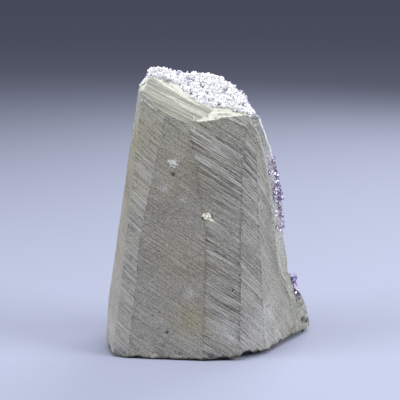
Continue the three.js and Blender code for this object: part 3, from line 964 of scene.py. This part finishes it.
RIM_SUNK = 1.0  # mm that the other points stay behind the ground face of a rim
RIM_COUNT = 260
RIM_RADIUS = (0.5, 1.3)
RIM_PALE = 0.35  # share of the colour that the small rim points have
BARE_RIM = (105, 7.0)  # mm: no points grow above that height so near to the right rim
TOP_PROUD = 0.9  # mm that points stand above the broken top of the quartz
ROOT_PALE = (0.93, 0.90, 0.97, 1)
TIP_PURPLE = (0.66, 0.46, 0.88, 1)
PURPLE_LIGHT = (0.42, 0.18, 0.78, 1)  # what comes through the crystal
ABSORPTION = 90.0
QUARTZ_IOR = 1.54


def six_ways(out, up):
    """Six directions round Z, 60 degrees apart, each that far out and that far up."""
    turns = [math.radians(60 * side + 30) for side in range(6)]
    return [Vector((math.cos(turn) * out, math.sin(turn) * out, up)) for turn in turns]


def point_planes(radius, prism, source):
    """The six tip faces and the six sides of a point that stands on the origin: a place and a normal each."""
    inner = math.cos(math.pi / 6)
    apex = Vector((0, 0, prism + radius * inner * math.tan(TIP_SLOPE)))
    tips = []
    for side, normal in enumerate(six_ways(math.sin(TIP_SLOPE), math.cos(TIP_SLOPE))):
        drop = radius * (source.uniform(0.0, 0.10) if side % 2 else source.uniform(0.12, 0.42))
        tips.append((apex - normal * drop, normal))
    return tips, [(way * radius * inner, way) for way in six_ways(1, 0)]


class Point:
    """One crystal: where it is rooted, where it points, and the planes of its faces, in mm."""

    def __init__(self, at, way, radius, prism, source, proud=-RIM_SUNK, tint=1.0):
        self.at = at
        self.way = way
        self.radius = radius
        self.proud = proud
        self.tint = tint
        self.length = prism + radius * TIP_HEIGHT
        self.matrix = Matrix.Translation(at) @ turned_to(way, source.uniform(0, math.tau))
        self.tips, sides = point_planes(radius, prism, source)
        turn = self.matrix.to_3x3()
        self.faces = [(self.matrix @ place, turn @ normal) for place, normal in self.tips + sides]

    def shape(self):
        shape = bmesh.new()
        depth = self.length + ROOT_DEPTH
        bmesh.ops.create_cone(
            shape, cap_ends=True, segments=6, radius1=self.radius * ROOT_TAPER, radius2=self.radius,
            depth=depth, matrix=Matrix.Translation((0, 0, depth / 2 - ROOT_DEPTH)))
        for place, normal in self.tips:
            cut_away(shape, place, normal)
        bmesh.ops.transform(shape, matrix=self.matrix, verts=shape.verts)
        return shape

    def met(self, other):
        """The face of a larger point that this one stopped at, or None if it would lie inside."""
        middle = self.at + self.way * self.length * 0.6
        place, normal = max(other.faces, key=lambda face: (middle - face[0]).dot(face[1]))
        return (place, normal) if (middle - place).dot(normal) > 0.15 * self.radius else None


def bed_hit(x, z):
    """Where the front of the quartz bed is at x and z, and the way it faces."""
    place, normal, _, _ = quartz_tree.ray_cast(Vector((x, -90, z)) * MM, Vector((0, 1, 0)))
    return (place / MM, normal) if place and normal.y < BED_TURN else None


def grow_points():
    """Points over the whole bed, the largest first, smaller ones in what room is left."""
    source = random.Random(1847)
    low, high = (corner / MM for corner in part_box("quartz_bed"))
    points = []
    for smallest, largest, tries in POINT_SIZES:
        for _ in range(tries):
            x, z = source.uniform(low.x, high.x), source.uniform(low.z, high.z)
            radius = source.uniform(smallest, largest)
            hit = bed_hit(x, z)
            around = [bed_hit(x + 0.8 * radius * math.cos(turn), z + 0.8 * radius * math.sin(turn))
                      for turn in (0.3, 1.9, 3.4, 5.0)] if hit and radius > LEAST_LARGE else [hit]
            lean, prism = random_way(source), source.uniform(0.3, 1.4)
            source.random()   # keeps the later draws in step
            if not all(around):
                continue
            at, normal = hit
            if any((at - other.at).length < CROWDING * (radius + other.radius) for other in points
                   if abs(at.z - other.at.z) < 12):
                continue
            way = (normal + POINT_LEAN * lean).normalized()
            room = (at.y - FRONT_LIMIT) / max(0.2, -way.y)
            length = min(radius * prism, max(0.2, room - TIP_HEIGHT * radius))
            points.append(Point(at, way, radius, length, source))
    return points


def rim_points():
    """Small points that stick out round the right rim, and a few on the ridge of the broken top."""
    source = random.Random(77)
    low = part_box("quartz_bed")[0] / MM
    start, end = RIM_HEIGHTS
    points = []
    for _ in range(RIM_COUNT):
        z = source.triangular(start, end, start + 0.4 * (end - start))
        x = low.x
        while bed_hit(x, z) is None and x < 0:
            x += 0.5
        at = bed_hit(x, z)[0]
        side = (Vector(rim_flat["normal"]) + 0.3 * Vector(rim_way) + 0.5 * random_way(source)).normalized()
        at = at + Vector(rim_way) * source.uniform(-3.5, reach_of_rim(z) + 0.5)
        radius = source.uniform(*RIM_RADIUS)
        prism = source.uniform(0.3, 1.0) * radius
        points.append(Point(at, side, radius, prism, source, RIM_PROUD, RIM_PALE))
    for place, radius in RIDGE_POINTS:
        way = (Vector((0, 0.4, 1)) + 0.2 * random_way(source)).normalized()
        points.append(Point(Vector(place), way, radius, 0.5 * radius, source, math.inf))
    return points


def trimmed(shape, point):
    """Cuts a point as the wheel did at the side rims, and as the top broke. False if nothing is left."""
    at = point.at
    if point.proud > RIM_PROUD:
        return True
    if at.z > BARE_RIM[0] and Vector(rim_flat["normal"]).dot(at) > rim_flat["offset"] - BARE_RIM[1]:
        return False
    for flat in flats:
        side_rim = abs(flat["normal"][0]) > 0.7
        limit = flat["offset"] + (point.proud if side_rim else 0.0)
        cut_away(shape, Vector(flat["normal"] * limit), Vector(flat["normal"]))
    above = Vector((at.x, at.y + 2.5, 300))
    place, normal, _, _ = quartz_tree.ray_cast(above * MM, Vector((0, 0, -1)))
    if place and normal.z > 0.5:
        cut_away(shape, place / MM + normal * TOP_PROUD, normal)
    cut_away(shape, Vector((0, 0, 0)), Vector((0, 0, -1)))
    return len(shape.verts) > 3


def grown_together(points, name):
    """All the points as one mesh, each stopped at the faces of the larger ones that it met."""
    whole = bmesh.new()
    spans = []
    for index, point in enumerate(points):
        shape = point.shape()
        for other in points[:index]:
            if (point.at - other.at).length > point.length + other.length + point.radius + other.radius:
                continue
            face = point.met(other)
            if face is None:
                shape.clear()
                break
            cut_away(shape, face[0] + face[1] * 0.02, -face[1])
        if len(shape.verts) > 3 and trimmed(shape, point):
            mesh = bpy.data.meshes.new("point")
            shape.to_mesh(mesh)
            spans.append((len(mesh.vertices), point))
            whole.from_mesh(mesh)
            bpy.data.meshes.remove(mesh)
        shape.free()
    bmesh.ops.scale(whole, vec=(MM, MM, MM), verts=whole.verts)
    piece = new_piece(name, whole)
    places = read_points(piece.data)
    tip = np.zeros(len(places))
    start = 0
    for count, point in spans:
        mine = slice(start, start + count)
        tip[mine] = point.tint * ((places[mine] - point.at) @ np.array(point.way)) / point.length
        start += count
    paint(piece.data, "tip", np.clip(tip, 0, 1))
    return piece


def amethyst_material():
    look = Look("amethyst")
    up = look.total("tip", look.spread(look.grain(180), 0.3, 0.7, -0.25, 0.25))
    look.set("Base Color", look.mix(look.spread(up, 0.05, 0.95), ROOT_PALE, TIP_PURPLE))
    look.set("Transmission Weight", 1.0)
    look.set("IOR", QUARTZ_IOR)
    look.set("Roughness", 0.03)
    absorb = look.node("VolumeAbsorption", {"Color": PURPLE_LIGHT, "Density": ABSORPTION})
    out = next(n for n in look.tree.nodes if n.type == "OUTPUT_MATERIAL")
    look.feed(out.inputs["Volume"], absorb.outputs[0])
    return look.material


AMETHYST = amethyst_material()
druse = grown_together(grow_points() + rim_points(), "amethyst_points")
druse.data.materials.append(AMETHYST)
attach(druse, "root")
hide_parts("amethyst_druse")

# ----------------------------------------------------------------------
# Foot crystals: a few larger clear points that grew by themselves low on the right rim and fan out
# sideways, with small ones round their roots.
# ----------------------------------------------------------------------
FOOT_PALE = 0.6
FOOT_POINTS = [  # root from the middle of the cluster in mm, the way it points, radius and prism length
    ((1.2, 2.2, 1.6), (-0.80, 0.15, 0.45), 3.6, 3.2), ((-1.4, 1.6, -3.4), (-0.92, 0.15, 0.15), 2.3, 2.6),
    ((-2.6, 1.2, -6.4), (-0.90, 0.25, 0.10), 1.8, 2.2), ((-1.6, 2.6, -0.6), (-0.85, 0.40, 0.30), 1.4, 1.8),
    ((-3.0, 2.2, -4.8), (-0.80, 0.50, 0.20), 1.2, 1.6), ((-3.6, 1.8, -8.4), (-0.90, 0.30, 0.10), 1.2, 1.6)]


def foot_cluster():
    source = random.Random(29)
    low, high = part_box("foot_crystals")
    middle = (low + high) / 2 / MM
    return [Point(middle + Vector(root), Vector(way).normalized(), radius, prism, source, math.inf, FOOT_PALE)
            for root, way, radius, prism in FOOT_POINTS]


foot = grown_together(foot_cluster(), "foot_points")
foot.data.materials.append(AMETHYST)
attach(foot, "root")
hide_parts("foot_crystals")

# ----------------------------------------------------------------------
# Stage: a plain pale floor, soft lights above and on both sides, and the camera behind the piece.
# ----------------------------------------------------------------------
FLOOR_SIZE = 9.0
FLOOR_COLOUR = (0.34, 0.365, 0.48, 1)
SKY_COLOUR = (0.62, 0.66, 0.8, 1)
SKY_STRENGTH = 0.24
TARGET = Vector((0.005357, -0.001649, 0.075))
CAMERA_DISTANCE = 0.5698
CAMERA_HEIGHT = math.radians(12)
SOFTBOXES = {
    # name: azimuth and height in degrees, distance and size in metres, power in watts
    "top_softbox": (180, 80, 0.8, 0.7, 4.5),
    "left_softbox": (108, 30, 0.8, 0.40, 4.5),
    "right_softbox": (252, 30, 0.8, 0.40, 5.0),
    "crystal_softbox": (330, 40, 0.9, 0.6, 4.5),
}


def floor_piece():
    shape = bmesh.new()
    bmesh.ops.create_grid(shape, x_segments=1, y_segments=1, size=FLOOR_SIZE)
    floor = new_piece("floor", shape)
    look = Look("pale_floor")
    look.set("Base Color", FLOOR_COLOUR)
    look.set("Roughness", 0.85)
    floor.data.materials.append(look.material)
    return floor


def soft_light(name, azimuth, height, distance, size, power):
    """A square softbox that faces the piece from an azimuth and a height in degrees."""
    light = bpy.data.lights.new(name, "AREA")
    light.shape = "SQUARE"
    light.size = size
    light.energy = power
    lamp = bpy.data.objects.new(name, light)
    bpy.context.scene.collection.objects.link(lamp)
    a, h = math.radians(azimuth), math.radians(height)
    way = Vector((math.sin(a) * math.cos(h), -math.cos(a) * math.cos(h), math.sin(h)))
    lamp.location = TARGET + way * distance
    lamp.rotation_euler = (-way).to_track_quat("-Z", "Y").to_euler()


floor_piece()
for name, setting in SOFTBOXES.items():
    soft_light(name, *setting)

world = bpy.data.worlds.new("studio")
world.use_nodes = True
world.node_tree.nodes["Background"].inputs["Color"].default_value = SKY_COLOUR
world.node_tree.nodes["Background"].inputs["Strength"].default_value = SKY_STRENGTH
bpy.context.scene.world = world
bpy.context.scene.view_settings.view_transform = "Standard"

camera_data = bpy.data.cameras.new("camera")
camera_data.lens = 100
camera_data.sensor_width = 36
camera = bpy.data.objects.new("camera", camera_data)
bpy.context.scene.collection.objects.link(camera)
back = Vector((0, math.cos(CAMERA_HEIGHT), math.sin(CAMERA_HEIGHT)))
camera.location = TARGET + back * CAMERA_DISTANCE
camera.rotation_euler = (-back).to_track_quat("-Z", "Y").to_euler()
bpy.context.scene.camera = camera
